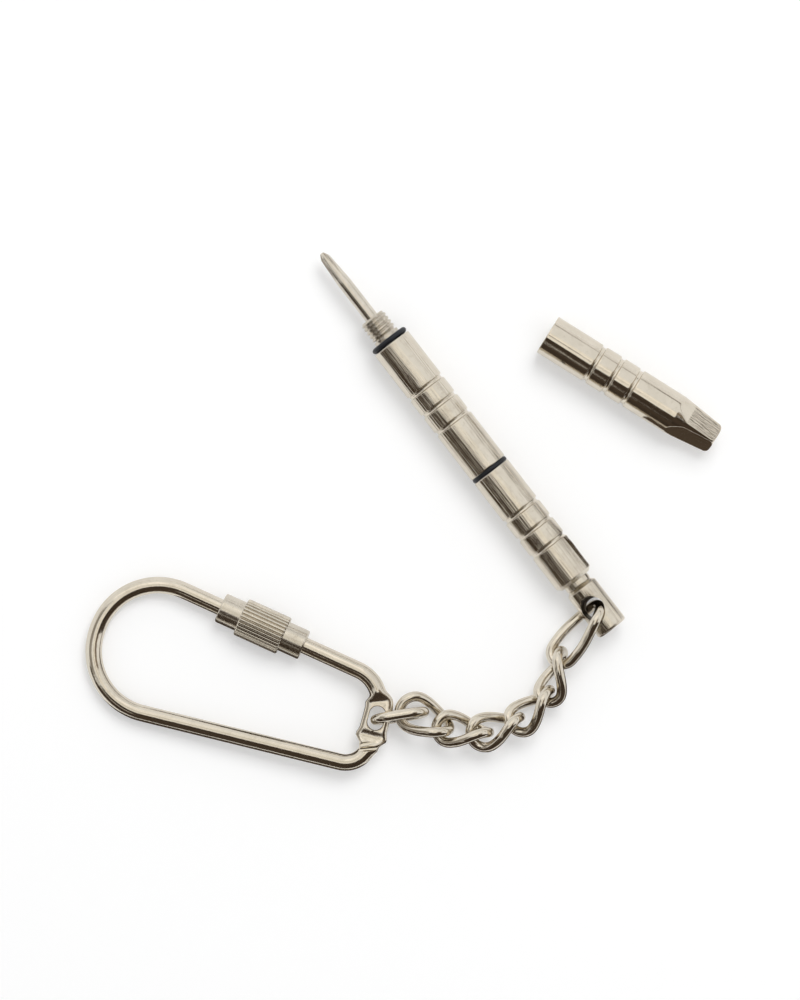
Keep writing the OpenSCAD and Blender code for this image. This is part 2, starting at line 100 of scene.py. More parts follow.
def wrapped_faces(rows, columns, closed=False):
    """Faces of a grid that closes round its columns, and from its last row to its first one if closed."""
    faces = []
    for i in range(rows if closed else rows - 1):
        for j in range(columns):
            k, n = (j + 1) % columns, (i + 1) % rows
            faces.append((i * columns + j, i * columns + k, n * columns + k, n * columns + j))
    return faces


def turned_points(rows, x_shift=0.0):
    """Points of rows of (x, radius) pairs, each row once round the X axis."""
    points = []
    for row in rows:
        for j, (x, r) in enumerate(row):
            g = TAU * j / len(row)
            points.append((x + x_shift, r * math.cos(g), r * math.sin(g)))
    return points


def rounded(points, radii, steps=5):
    """A profile with its corners rounded, and a support point on each side of every corner."""
    out = []
    n = len(points)
    for i, p in enumerate(points):
        p = np.array(p, float)
        r = radii[i]
        if i in (0, n - 1) or r <= 0:
            out.append(tuple(p))
            continue
        a = np.array(points[i - 1], float) - p
        b = np.array(points[i + 1], float) - p
        la, lb = np.linalg.norm(a), np.linalg.norm(b)
        a, b = a / la, b / lb
        half = math.acos(max(-1.0, min(1.0, float(a @ b)))) / 2
        if half > math.pi / 2 - 0.02:
            out.append(tuple(p))
            continue
        cut = min(r / math.tan(half), 0.42 * la, 0.42 * lb)
        rr = cut * math.tan(half)
        centre = p + (a + b) / np.linalg.norm(a + b) * rr / math.sin(half)
        s, e = p + a * cut, p + b * cut
        support = min(0.12, 0.06 + cut)
        if la > 3 * cut + support:
            out.append(tuple(s + a * min(support, 0.3 * la)))
        va, vb = s - centre, e - centre
        total = math.acos(max(-1.0, min(1.0, float(va @ vb) / rr ** 2)))
        for k in range(steps + 1):
            t = k / steps
            v = (va * math.sin((1 - t) * total) + vb * math.sin(t * total)) / math.sin(total)
            out.append(tuple(centre + v))
        if lb > 3 * cut + support:
            out.append(tuple(e + b * min(support, 0.3 * lb)))
    return out


def lathe(name, profile, sides=144, closed=False):
    """Turns a profile of (x, r) points about the X axis. A closed profile makes a tube."""
    verts, faces = [], []
    m = len(profile)
    for j in range(sides):
        g = TAU * j / sides
        for x, r in profile:
            verts.append((x, r * math.cos(g), r * math.sin(g)))
    last = m if closed else m - 1
    for j in range(sides):
        k = (j + 1) % sides
        for i in range(last):
            n = (i + 1) % m
            faces.append((j * m + i, j * m + n, k * m + n, k * m + i))
    return mesh_object(name, verts, faces)


def groove(x0):
    """Round-bottomed groove of the barrel, centred on x0, from +X to -X, with softened shoulders."""
    r0, w, d, steps = BARREL_R, GROOVE_W, GROOVE_DEPTH, 9
    out = [(x0 + w / 2 + 0.22, r0), (x0 + w / 2 + 0.10, r0), (x0 + w / 2 + 0.04, r0 - 0.008)]
    rr = w * w / (8 * d) + d / 2
    span = math.asin(w / 2 / rr)
    for k in range(steps + 1):
        g = span * (1 - 2 * k / steps)
        depth = d - rr + rr * math.cos(g)
        out.append((x0 + rr * math.sin(g) * 0.985, r0 - max(depth, 0.012)))
    out += [(x0 - w / 2 - 0.04, r0 - 0.008), (x0 - w / 2 - 0.10, r0), (x0 - w / 2 - 0.22, r0)]
    return out


def grid_surface(name, fn, ni, nj):
    """A closed round surface: fn(i / ni, j / nj) over length and turn, with both ends closed by a fan."""
    verts = [fn(i / ni, j / nj) for i in range(ni + 1) for j in range(nj)]
    faces = wrapped_faces(ni + 1, nj)
    for ring in (0, ni):
        centre = np.mean([verts[ring * nj + j] for j in range(nj)], axis=0)
        verts.append(tuple(centre))
        c = len(verts) - 1
        for j in range(nj):
            faces.append((ring * nj + j, ring * nj + (j + 1) % nj, c))
    return mesh_object(name, verts, faces)


def transformed(obj, matrix):
    obj.data.transform(matrix)
    if matrix.determinant() < 0:
        obj.data.flip_normals()
    return obj


def place(point, *rotations):
    m = Matrix.Translation(Vector(point) * MM)
    for angle, axis in rotations:
        m = m @ Matrix.Rotation(math.radians(angle), 4, axis)
    return m


def apply_modifiers(obj):
    bpy.context.view_layer.update()
    deps = bpy.context.evaluated_depsgraph_get()
    mesh = bpy.data.meshes.new_from_object(obj.evaluated_get(deps))
    obj.modifiers.clear()
    obj.data = mesh
    return obj


def cut_by(obj, *cutters):
    for c in cutters:
        m = obj.modifiers.new("cut", "BOOLEAN")
        m.operation = "DIFFERENCE"
        m.solver = "EXACT"
        m.object = c
    apply_modifiers(obj)
    for c in cutters:
        bpy.data.objects.remove(c)
    return obj


def soften_edges(obj, width, angle=35):
    m = obj.modifiers.new("bevel", "BEVEL")
    m.width = width * MM
    m.segments = 3
    m.limit_method = "ANGLE"
    m.angle_limit = math.radians(angle)
    m.use_clamp_overlap = True
    apply_modifiers(obj)
    for p in obj.data.polygons:
        p.use_smooth = True
    m = obj.modifiers.new("normals", "WEIGHTED_NORMAL")
    m.keep_sharp = True
    return apply_modifiers(obj)


# materials
def new_material(name):
    mat = bpy.data.materials.new(name)
    mat.use_nodes = True
    tree = mat.node_tree
    tree.nodes.clear()
    out = tree.nodes.new("ShaderNodeOutputMaterial")
    bsdf = tree.nodes.new("ShaderNodeBsdfPrincipled")
    tree.links.new(bsdf.outputs["BSDF"], out.inputs["Surface"])
    coords = tree.nodes.new("ShaderNodeTexCoord")
    return mat, tree, bsdf, coords


def noise(tree, vector, scale, detail=2.0, rough=0.5, stretch=None):
    if stretch is not None:
        mapping = tree.nodes.new("ShaderNodeMapping")
        mapping.inputs["Scale"].default_value = stretch
        tree.links.new(vector, mapping.inputs["Vector"])
        vector = mapping.outputs["Vector"]
    n = tree.nodes.new("ShaderNodeTexNoise")
    n.inputs["Scale"].default_value = scale
    n.inputs["Detail"].default_value = detail
    n.inputs["Roughness"].default_value = rough
    tree.links.new(vector, n.inputs["Vector"])
    return n.outputs["Fac"]


def ramp(tree, fac, stops):
    r = tree.nodes.new("ShaderNodeValToRGB")
    tree.links.new(fac, r.inputs["Fac"])
    while len(r.color_ramp.elements) < len(stops):
        r.color_ramp.elements.new(0.5)
    for e, (pos, colour) in zip(r.color_ramp.elements, stops):
        e.position = pos
        e.color = (*colour, 1.0)
    return r.outputs["Color"]


def spread(tree, fac, low, high, from_low=0.3, from_high=0.7):
    m = tree.nodes.new("ShaderNodeMapRange")
    m.inputs["From Min"].default_value = from_low
    m.inputs["From Max"].default_value = from_high
    m.inputs["To Min"].default_value = low
    m.inputs["To Max"].default_value = high
    tree.links.new(fac, m.inputs["Value"])
    return m.outputs["Result"]


def bumps(tree, bsdf, layers):
    normal = None
    for fac, strength, distance in layers:
        b = tree.nodes.new("ShaderNodeBump")
        b.inputs["Strength"].default_value = strength
        b.inputs["Distance"].default_value = distance
        tree.links.new(fac, b.inputs["Height"])
        if normal is not None:
            tree.links.new(normal, b.inputs["Normal"])
        normal = b.outputs["Normal"]
    tree.links.new(normal, bsdf.inputs["Normal"])


def metal(name, colour, shade, rough, wave, scratch, streak=0.0, turned=0.0, dirt=0.0):
    """Plated or ground metal: two close tints, uneven gloss, shallow waves and fine streaks."""
    mat, tree, bsdf, coords = new_material(name)
    at = coords.outputs["Object"]
    if turned:
        turn = tree.nodes.new("ShaderNodeMapping")
        turn.inputs["Rotation"].default_value = (0, 0, math.radians(-turned))
        tree.links.new(at, turn.inputs["Vector"])
        at = turn.outputs["Vector"]
    stretch = (0.012, 1, 1) if streak else (1, 1, 1)
    tint = noise(tree, at, 260, 3)
    colours = ramp(tree, tint, [(0.3, shade), (0.7, colour)])
    if dirt:
        dark = noise(tree, at, 900, 4, 0.65)
        mix = tree.nodes.new("ShaderNodeMixRGB")
        mix.blend_type = "MULTIPLY"
        tree.links.new(spread(tree, dark, dirt, 0.0, 0.34, 0.46), mix.inputs["Fac"])
        tree.links.new(colours, mix.inputs["Color1"])
        mix.inputs["Color2"].default_value = (0.42, 0.36, 0.29, 1)
        colours = mix.outputs["Color"]
    tree.links.new(colours, bsdf.inputs["Base Color"])
    bsdf.inputs["Metallic"].default_value = 1.0
    streaks = noise(tree, at, 1500, 3, 0.6, stretch)
    tree.links.new(spread(tree, streaks, rough[0], rough[1]), bsdf.inputs["Roughness"])
    layers = [(noise(tree, at, 420, 1.5), wave, 0.0004), (noise(tree, at, 5200, 2, 0.7), scratch, 0.00006)]
    if streak:
        layers.append((noise(tree, at, 3000, 2.5, 0.55, stretch), streak, 0.0001))
    bumps(tree, bsdf, layers)
    return mat


NICKEL = metal(
    "polished_nickel", (0.70, 0.645, 0.55), (0.63, 0.575, 0.48), (0.05, 0.11), 0.02, 0.08, 1.0, 0, 0.12)
CAP_NICKEL = metal(
    "bright_nickel", (0.70, 0.642, 0.545), (0.64, 0.585, 0.49), (0.05, 0.11), 0.02, 0.06, 0.2, CAP_ANGLE, 0.1)
LINK_NICKEL = metal(
    "tumbled_nickel", (0.70, 0.642, 0.545), (0.63, 0.575, 0.48), (0.07, 0.16), 0.10, 0.08, 0, 0, 0.1)
SATIN = metal("satin_nickel", (0.62, 0.57, 0.49), (0.53, 0.485, 0.41), (0.18, 0.30), 0.03, 0.08, 0, 0, 0.15)
KNURLED = metal(
    "knurled_nickel", (0.66, 0.61, 0.525), (0.57, 0.525, 0.445), (0.16, 0.28), 0.03, 0.08, 0, 0, 0.15)
# Dark nickel for the walls of the tail's eye: painted shade inside the hole.
EYE_SHADE_NICKEL = metal("eye_wall_shade_nickel", (0.20, 0.175, 0.145), (0.11, 0.095, 0.08), (0.28, 0.42), 0.05, 0.2, 0, 0, 0.2)
STEEL = metal("bit_steel", (0.68, 0.63, 0.55), (0.60, 0.555, 0.48), (0.10, 0.22), 0.04, 0.12, 0.5, 0, 0.1)


def rubber(name):
    mat, tree, bsdf, coords = new_material(name)
    at = coords.outputs["Object"]
    bloom = noise(tree, at, 900, 4, 0.6)
    colour = ramp(tree, bloom, [
        (0.35, (0.006, 0.007, 0.010)), (0.62, (0.011, 0.013, 0.017)), (0.8, (0.022, 0.024, 0.029))])
    tree.links.new(colour, bsdf.inputs["Base Color"])
    tree.links.new(spread(tree, bloom, 0.38, 0.55), bsdf.inputs["Roughness"])
    bsdf.inputs["Specular IOR Level"].default_value = 0.35
    grain = noise(tree, at, 4200, 3, 0.6)
    bumps(tree, bsdf, [(grain, 0.25, 0.00006)])
    return mat


RUBBER = rubber("seal_rubber")


def dress(obj, material, body, slot, *replaced):
    """Gives a piece its material and its body, and hides the CAD nodes that it replaces."""
    obj.data.materials.clear()
    obj.data.materials.append(material)
    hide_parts(*replaced)
    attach(obj, body)


# barrel and rings
def barrel_profile():
    front, back = -NOSE_SEAT, BARREL_BACK
    outer = rounded([(front, BARREL_BORE_R), (front, BARREL_R), (back, BARREL_R), (back, BARREL_BORE_R)],
                    [0, 0.22, 0.22, 0], steps=6)
    cut = [i for i, p in enumerate(outer) if p[1] >= BARREL_R - 1e-6]
    head, tail = outer[:cut[0] + 2], outer[cut[-1] - 1:]
    grooves = [p for k in range(GROOVE_COUNT) for p in groove(front - BARREL_GROOVE_AT - k * GROOVE_PITCH)]
    return head + grooves + tail


barrel = lathe("barrel_tube", barrel_profile(), closed=True)
dress(barrel, NICKEL, "driver", "polished_nickel", "centre_barrel")

SEAL_FIT, SEAL_SQUASH = 0.02, 0.88
front_ring_x = -NOSE_SEAT + SEAL_R + SEAL_FIT
section = []
for k in range(32):
    g = TAU * k / 32
    section.append((front_ring_x + SEAL_SQUASH * SEAL_R * math.cos(g), SEAL_LINE_R + SEAL_R * math.sin(g)))
front_ring = lathe("front_o_ring", section, closed=True)
dress(front_ring, RUBBER, "driver", "seal_rubber", "front_seal")

middle_x = BARREL_BACK - SQUEEZED / 2
half = SQUEEZED / 2 - SEAL_FIT
section = []
for k in range(40):
    g = TAU * k / 40
    out = max(-half, min(half, SEAL_R * math.cos(g)))
    section.append((middle_x + out, SEAL_LINE_R + SEAL_R * math.sin(g)))
middle_ring = lathe("middle_o_ring", section, closed=True)
dress(middle_ring, RUBBER, "driver", "seal_rubber", "middle_seal")


# threaded noses
def thread_radius(x, turn):
    """Radius of the nose at x (0 is the thread's rear end) and turn 0..1, with a real helix."""
    phase = (x / THREAD_PITCH - turn) % 1.0
    crest, root = 0.34, 0.16
    flank = (1 - crest - root) / 2
    if phase < crest:
        depth = 0.0
    elif phase < crest + flank:
        depth = (phase - crest) / flank
    elif phase < crest + flank + root:
        depth = 1.0
    else:
        depth = (1 - phase) / flank
    depth = 0.5 - 0.5 * math.cos(math.pi * depth)
    r = THREAD_R - THREAD_CUT * depth
    lead = THREAD_LEN - x
    return min(r, THREAD_R - THREAD_CUT * max(0.0, 1 - lead / 0.55) - 0.02)


def nose_mesh(name):
    nj, rows = 120, []
    stem_r, undercut_r = BARREL_BORE_R - 0.005, 2.05
    stem = rounded([
        (-NOSE_SEAT - STEM_LEN, 0.0), (-NOSE_SEAT - STEM_LEN, stem_r), (-NOSE_SEAT, stem_r), (-NOSE_SEAT, THREAD_R),
        (-0.3, THREAD_R), (-0.3, undercut_r), (-0.06, undercut_r)], [0, 0.1, 0, 0, 0.07, 0.07, 0])
    for x, r in stem:
        rows.append([(x, r)] * nj)
    n = 150
    for i in range(n + 1):
        x = THREAD_LEN * i / n
        rows.append([(x, thread_radius(x, j / nj)) for j in range(nj)])
    for back, r in [(0.0, 1.98), (0.02, 1.72), (0.12, 1.42), (0.3, 1.3), (0.32, 0.0)]:
        rows.append([(THREAD_LEN - back, r)] * nj)
    return mesh_object(name, turned_points(rows), wrapped_faces(len(rows), nj))


front_nose = nose_mesh("front_threaded_nose")
dress(front_nose, SATIN, "driver", "satin_nickel", "front_nose")
at_rear = Matrix.Translation(Vector((BARREL_BACK - NOSE_SEAT, 0, 0)) * MM) @ Matrix.Scale(-1, 4, (1, 0, 0))
rear_nose = transformed(nose_mesh("rear_threaded_nose"), at_rear)
dress(rear_nose, SATIN, "driver", "satin_nickel", "rear_nose")


# bits
def smooth_min(a, b, k):
    h = max(0.0, min(1.0, 0.5 + 0.5 * (b - a) / k))
    return b + (a - b) * h - k * h * (1 - h)


def cross_radius(x, g):
    """Shank, pointed end and four flutes, which leave a cross."""
    back = TIP_X - x
    shank = BIT_R
    if back < 6.5:
        shank = BIT_R * (0.62 + 0.38 * (back / 6.5) ** 0.8)
    if back < 1.1:
        shank = min(shank, 0.3 + 0.6 * (back / 1.1) ** 0.8)
    if back < 0.12:
        shank *= math.sqrt(max(0.0, 1 - (1 - back / 0.12) ** 2)) * 0.5 + 0.5
    slope = (BIT_R - 0.35) / 5.6
    core = 0.28 + slope * back
    best = shank
    for k in range(4):
        from_flute = g - math.radians(CROSS_TURN + 90 * k)
        d = math.atan2(math.sin(from_flute), math.cos(from_flute))
        if abs(d) < math.pi / 4 + 0.02:
            best = min(best, smooth_min(shank, core / max(0.2, math.cos(d) - math.sin(abs(d)) * 0.98), 0.05))
    return max(best, 0.12)


def bit_mesh(name, radius):
    def surface(u, v):
        x = THREAD_LEN - BIT_HOLD + (BIT_HOLD + BIT_REACH) * u ** 0.62
        g = TAU * v
        r = radius(x, g)
        return (x, -r * math.sin(g), r * math.cos(g))
    return grid_surface(name, surface, 220, 144)


cross_bit = bit_mesh("cross_head_bit", cross_radius)
dress(cross_bit, STEEL, "driver", "bit_steel", "cross_bit")


def flat_radius(x, g):
    back = TIP_X - x
    slope = (BIT_R - 0.25) / 5.0
    limit = 0.25 + slope * max(0.0, back)
    c = abs(math.cos(g))
    shank = BIT_R if back > 5 else BIT_R * (0.98 + 0.02 * back / 5)
    return smooth_min(shank, limit / max(c, 0.05), 0.04)


flat_bit = transformed(bit_mesh("flat_blade_bit", flat_radius), at_rear)
dress(flat_bit, STEEL, "driver", "bit_steel", "flat_bit")


# rear cap, tail and rivet
def rear_cap_profile():
    m, end = REAR_MOUTH, REAR_MOUTH - REAR_LEN
    outer = rounded([
        (m, CAP_BORE_R), (m, BARREL_R), (end + REAR_CHAMFER, BARREL_R), (end, BARREL_R - REAR_CHAMFER), (end, NECK_R),
        (end - NECK_LEN, NECK_R), (end - NECK_LEN, RIVET_R + SWIVEL_GAP)],
        [0, 0.22, 0.12, 0.12, 0.05, 0.1, 0], steps=6)
    cut = [i for i, p in enumerate(outer) if p[1] >= BARREL_R - 1e-6]
    head, tail = outer[:cut[0] + 2], outer[cut[-1] - 1:]
    grooves = [p for k in range(GROOVE_COUNT) for p in groove(m - REAR_GROOVE_AT - k * GROOVE_PITCH)]
    room_end = m + SQUEEZED - ROOM_LEN - HEAD_T - SWIVEL_GAP
    bore_end = m - CAP_BORE_LEN
    inner = [(room_end, RIVET_R + SWIVEL_GAP), (room_end, ROOM_R), (bore_end, ROOM_R), (bore_end, CAP_BORE_R)]
    return head + grooves + tail + inner


rear_cap = lathe("rear_screw_cap", rear_cap_profile(), closed=True)
dress(rear_cap, NICKEL, "rear_cap", "polished_nickel", "rear_cap")

tail = lathe("tail_body", rounded([
    (TAIL_FRONT, 0), (TAIL_FRONT, TAIL_R - TAIL_CHAMFER), (TAIL_FRONT - TAIL_CHAMFER, TAIL_R),
    (TAIL_FRONT - TAIL_LEN, TAIL_R), (TAIL_FRONT - TAIL_LEN, 0)], [0, 0.15, 0.15, TAIL_ROUND, 0], steps=8))
sink_z = TAIL_R * math.cos(math.asin(EYE_R / TAIL_R)) - EYE_SINK
reach = TAIL_R + 0.6
low_eye = lathe("low_eye_cutter", rounded([
    (0.3, 0), (0.3, LOW_EYE_R), (-sink_z, LOW_EYE_R), (-reach, LOW_EYE_R + reach - sink_z), (-reach, 0)],
    [0, 0, 0.5, 0, 0], steps=8), sides=96)
transformed(low_eye, place((EYE_X - LOW_EYE_BACK, 0, 0), (-90, "Y")))
rim_z = TAIL_R - 0.62
high_reach = reach + 0.4
high_eye = lathe("high_eye_cutter", rounded([
    (-0.6, 0), (-0.6, EYE_R), (rim_z, EYE_R), (high_reach, EYE_R + 0.75 * (high_reach - rim_z)), (high_reach, 0)],
    [0, 0, 0.4, 0, 0], steps=8), sides=96)
transformed(high_eye, place((EYE_X, 0, 0), (-EYE_LEAN, "X"), (-90, "Y")))
cut_by(tail, low_eye, high_eye)
soften_edges(tail, 0.12)
tail.name = "swivel_tail_piece"
dress(tail, NICKEL, "tail", "polished_nickel", "swivel_tail")
# The eye's inner faces take the dark nickel: painted shade inside the hole.
tail.data.materials.append(EYE_SHADE_NICKEL)
for face in tail.data.polygons:
    x, y, z = (c / MM for c in face.center)
    if abs(x - EYE_X) < 3.4 and math.hypot(y, z) < TAIL_R - 0.35:
        face.material_index = 1

head_x = REAR_MOUTH + SQUEEZED - ROOM_LEN - HEAD_T
rivet = lathe("swivel_rivet_pin", rounded([
    (TAIL_FRONT - RIVET_HOLD, 0), (TAIL_FRONT - RIVET_HOLD, RIVET_R), (head_x, RIVET_R), (head_x, RIVET_HEAD_R),
    (head_x + HEAD_T, RIVET_HEAD_R), (head_x + HEAD_T, 0)], [0, 0.1, 0, 0.08, 0.2, 0]), sides=64)
dress(rivet, SATIN, "tail", "satin_nickel", "swivel_rivet")


# front cap
def cap_radius(back, g):
    """Outside of the front cap at a distance from its closed end: round, then four tapered flats."""
    r = BARREL_R
    if back < CAP_FLATS:
        r = CAP_CORNER_R + (BARREL_R - CAP_CORNER_R) * max(0.0, back - CAP_ROUND) / (CAP_FLATS - CAP_ROUND)
    if back < CAP_ROUND:
        r = CAP_CORNER_R - CAP_ROUND + math.sqrt(max(0.0, CAP_ROUND ** 2 - (CAP_ROUND - back) ** 2))
    limit = CAP_SQUARE / 2 + (CAP_SHOULDER - CAP_SQUARE / 2) * min(1.0, back / CAP_PRESSED)
    if back > CAP_PRESSED:
        limit += (BARREL_R - CAP_SHOULDER) * (back - CAP_PRESSED) / (CAP_RUNOUT - CAP_PRESSED)
    for k in range(4):
        c = math.cos(g - TAU * k / 4)
        if c > 0.2:
            r = smooth_min(r, limit / c, 0.08)
    return r


def front_cap_mesh():
    nj = 192
    rows = []

    def ring(x, r):
        rows.append([(x, r if not callable(r) else r(TAU * j / nj)) for j in range(nj)])

    bore = [(-ROOM_LEN, 0.0), (-ROOM_LEN, ROOM_R), (-CAP_BORE_LEN, ROOM_R), (-CAP_BORE_LEN, CAP_BORE_R),
            (-0.25, CAP_BORE_R), (-0.08, CAP_BORE_R + 0.02), (0.0, CAP_BORE_R + 0.14), (0.0, BARREL_R - 0.3)]
    for x, r in bore:
        ring(x, r)
    rim = rounded([(0.0, BARREL_R - 0.25), (0.0, BARREL_R), (-3.0, BARREL_R)], [0, 0.22, 0], steps=6)
    for x, r in rim[1:-1]:
        ring(x, r)
    for k in range(GROOVE_COUNT):
        for x, r in groove(-CAP_GROOVE_AT - k * GROOVE_PITCH):
            ring(x, r)
    backs = list(np.linspace(CAP_RUNOUT + 1.2, CAP_ROUND, 110))
    backs += [CAP_ROUND * (1 - math.sin(t)) for t in np.linspace(0.06, math.pi / 2, 14)]
    for back in backs:
        ring(back - CAP_LEN, lambda g, b=back: cap_radius(b, g))
    edge = [p[1] for p in rows[-1]]
    for share in (0.9, 0.7, 0.4, 0.1):
        rows.append([(-CAP_LEN, e * share) for e in edge])
    verts = [(x, -z, y) for x, y, z in turned_points(rows)]
    faces = wrapped_faces(len(rows), nj)
    faces.append(tuple(range((len(rows) - 1) * nj, len(rows) * nj)))
    return mesh_object("front_screw_cap", verts, faces)


front_cap = transformed(front_cap_mesh(), place((*CAP_AT, 0), (CAP_ANGLE, "Z"), (CAP_ROLL, "X")))
dress(front_cap, CAP_NICKEL, "front_cap", "polished_nickel", "front_cap")

# chain
WIRE = 1.85
LINK_LEN, LINK_W = 11.45, 6.6
FIRST_LEN, FIRST_TAIL_W, FIRST_FAR_W, LAST_LEN = 14.7, 8.55, 6.6, 10.75
LAST = 6
LINK_GAP = 0.15
HEADING = [105.15, 125.9, 97.7, 75.5, 46.7, 27.3, 61.3]
ROLL_START = [71.7, 108.3, 99.3, 93.9, 91.6, 66.7, 98]
ROLL_END = [26, 16, 10.7, -10.6, -1.7, -4, 97.8]
WIDTH_SHARE = [1, 0.99, 1.1, 1.1, 1.06, 1.2, 1.02]
SLACK = [0.37, 0.32, 0.4, 1.42, 0.4, 2.3]
OFFSET = [-0.31, -0.02, -0.39, 0.32, 0.04, -0.8]
FIRST_BACK, FIRST_OFFSET, FIRST_RISE = 0.23, 0.59, 0.22
TWIST_FROM, TWIST_TO = 0.11, 0.9


def direction(angle):
    g = math.radians(angle)
    return np.array([math.cos(g), math.sin(g)])


def line_len(k):
    return (FIRST_LEN if k == 0 else LAST_LEN if k == LAST else LINK_LEN) - WIRE


def start_w(k):
    return (FIRST_TAIL_W if k == 0 else LINK_W * WIDTH_SHARE[k]) - WIRE


def end_w(k):
    return (FIRST_FAR_W if k == 0 else LINK_W * WIDTH_SHARE[k]) - WIRE


def link_z(k):
    height = (WIRE + start_w(k) * math.sin(math.radians(ROLL_START[k]))) / 2
    return FLOOR_Z + height + (FIRST_RISE if k == 0 else 0)


def link_starts():
    out = [np.array([EYE_X - FIRST_BACK, -FIRST_OFFSET])]
    for k in range(LAST):
        step = line_len(k) - WIRE - LINK_GAP - SLACK[k]
        out.append(out[-1] + step * direction(HEADING[k]) + OFFSET[k] * direction(HEADING[k] + 90))
    return out


STARTS = link_starts()


def link_outline(length, a, b, arc=40, side=26):
    turn = 180 * np.arange(arc + 1) / arc
    p = [(a + a * math.cos(g), a * math.sin(g)) for g in np.radians(90 + turn)]
    p += [(a + (length - a - b) * t, -a + (a - b) * t) for t in np.arange(1, side) / side]
    p += [(length - b + b * math.cos(g), b * math.sin(g)) for g in np.radians(-90 + turn)]
    p += [(length - b + (a + b - length) * t, b + (a - b) * t) for t in np.arange(1, side) / side]
    return p


def link_line(k):
    length = line_len(k)
    line, normals = [], []
    next_z = link_z(k if k == LAST else k + 1)
    d, n = direction(HEADING[k]), direction(HEADING[k] + 90)
    for p in link_outline(length, start_w(k) / 2, end_w(k) / 2):
        t = p[0] / length
        u = t if k else min(1.0, max(0.0, (t - TWIST_FROM) / (TWIST_TO - TWIST_FROM)))
        roll = math.radians(ROLL_START[k] + (ROLL_END[k] - ROLL_START[k]) * u * u * (3 - 2 * u))
        flat = STARTS[k] + p[0] * d + p[1] * math.cos(roll) * n
        line.append((flat[0], flat[1], link_z(k) + (next_z - link_z(k)) * t + p[1] * math.sin(roll)))
        side = -math.sin(roll) * n
        normals.append((side[0], side[1], math.cos(roll)))
    return np.array(line), np.array(normals)


def smoothed(line, rounds):
    for _ in range(rounds):
        line = 0.5 * line + 0.25 * (np.roll(line, 1, 0) + np.roll(line, -1, 0))
    return line


def closed_tube(name, line, normals, radius, sides=24):
    n = len(line)
    ahead = np.roll(line, -1, 0) - np.roll(line, 1, 0)
    t = ahead / np.linalg.norm(ahead, axis=1)[:, None]
    e = normals - (normals * t).sum(1)[:, None] * t
    e /= np.linalg.norm(e, axis=1)[:, None]
    f = np.cross(t, e)
    verts = []
    for i in range(n):
        for j in range(sides):
            g = TAU * j / sides
            verts.append(line[i] + radius * (math.cos(g) * e[i] + math.sin(g) * f[i]))
    return mesh_object(name, verts, wrapped_faces(n, sides, closed=True))


for k in range(LAST + 1):
    line, normals = link_line(k)
    link = closed_tube(f"wire_link_{k + 1}", smoothed(line, 6), normals, WIRE / 2 - 0.004)
    dress(link, LINK_NICKEL, f"link_{k + 1}", "polished_nickel", f"chain_link_{k + 1}")

# key ring
RING_R = 1.5
GATE_SIDE, EYELET_SIDE, BOW_SIDE = 52.2, 15.7, 25.5
EYELET_ANGLE, BOW_ANGLE = 99.1, 84.7
GATE_END = np.array([GATE_SIDE, 0.0])
CORNERS = [
    np.zeros(2), GATE_END, GATE_END + BOW_SIDE * direction(180 - BOW_ANGLE), EYELET_SIDE * direction(EYELET_ANGLE)]
BENDS = [6.4, 11.4, 11.4, 4.4]
SLEEVE_AT, SLEEVE_LEN, GATE_GAP = 24.3, 16.4, 6.0
SLOT_AT, SLOT_W, SLOT_LEN, PAD_W, PAD_T = 6.9, 2.9, 5.0, 5.0, 1.8
SLOT_OFFSET, SLOT_SHIFT = -0.15, 0.35
RING_HEADING = 27.8
SLOT_MIDDLE = SLOT_AT * direction(EYELET_ANGLE)
PAD_Z = link_z(LAST)
RING_LEAN = math.degrees(math.asin((PAD_Z - FLOOR_Z - RING_R) / (GATE_SIDE - SLOT_MIDDLE[0])))
HANG = STARTS[LAST] + (line_len(LAST) + SLOT_OFFSET) * direction(HEADING[LAST])
IN_RING = place((HANG[0], HANG[1], PAD_Z), (RING_HEADING, "Z"), (RING_LEAN, "Y")) @ Matrix.Translation(
    Vector((-SLOT_MIDDLE[0], -SLOT_MIDDLE[1], 0)) * MM)


def bend(i, step=0.35):
    """Points round a corner of the ring, from the side that comes in to the side that goes out."""
    into = CORNERS[i] - CORNERS[i - 1]
    out = CORNERS[(i + 1) % 4] - CORNERS[i]
    into, out = into / np.linalg.norm(into), out / np.linalg.norm(out)
    turn = math.acos(float(into @ out))
    r = BENDS[i]
    start = CORNERS[i] - into * r * math.tan(turn / 2)
    centre = start + r * np.array([-into[1], into[0]])
    n = max(6, int(r * turn / step))
    first = start - centre
    pts = []
    for k in range(n + 1):
        g = turn * k / n
        c, s = math.cos(g), math.sin(g)
        pts.append(centre + np.array([first[0] * c - first[1] * s, first[0] * s + first[1] * c]))
    return pts


def ring_path():
    gap_end = SLEEVE_AT + SLEEVE_LEN / 2 - RING_R
    pts = [np.array([gap_end, 0.0])]
    for i in (1, 2, 3, 0):
        new = bend(i)
        gap = new[0] - pts[-1]
        n = max(1, int(np.linalg.norm(gap) / 0.5))
        pts += [pts[-1] + gap * k / n for k in range(1, n)] + new
    last = np.array([gap_end - GATE_GAP, 0.0])
    gap = last - pts[-1]
    n = int(np.linalg.norm(gap) / 0.5)
    return np.array(pts + [pts[-1] + gap * k / n for k in range(1, n + 1)])


def ease(t):
    t = max(0.0, min(1.0, t))
    return t * t * (3 - 2 * t)


def hump(v, a, b, c, d):
    """0 before a, 1 from b to c, and 0 after d."""
    return ease((v - a) / (b - a)) * (1 - ease((v - c) / (d - c)))


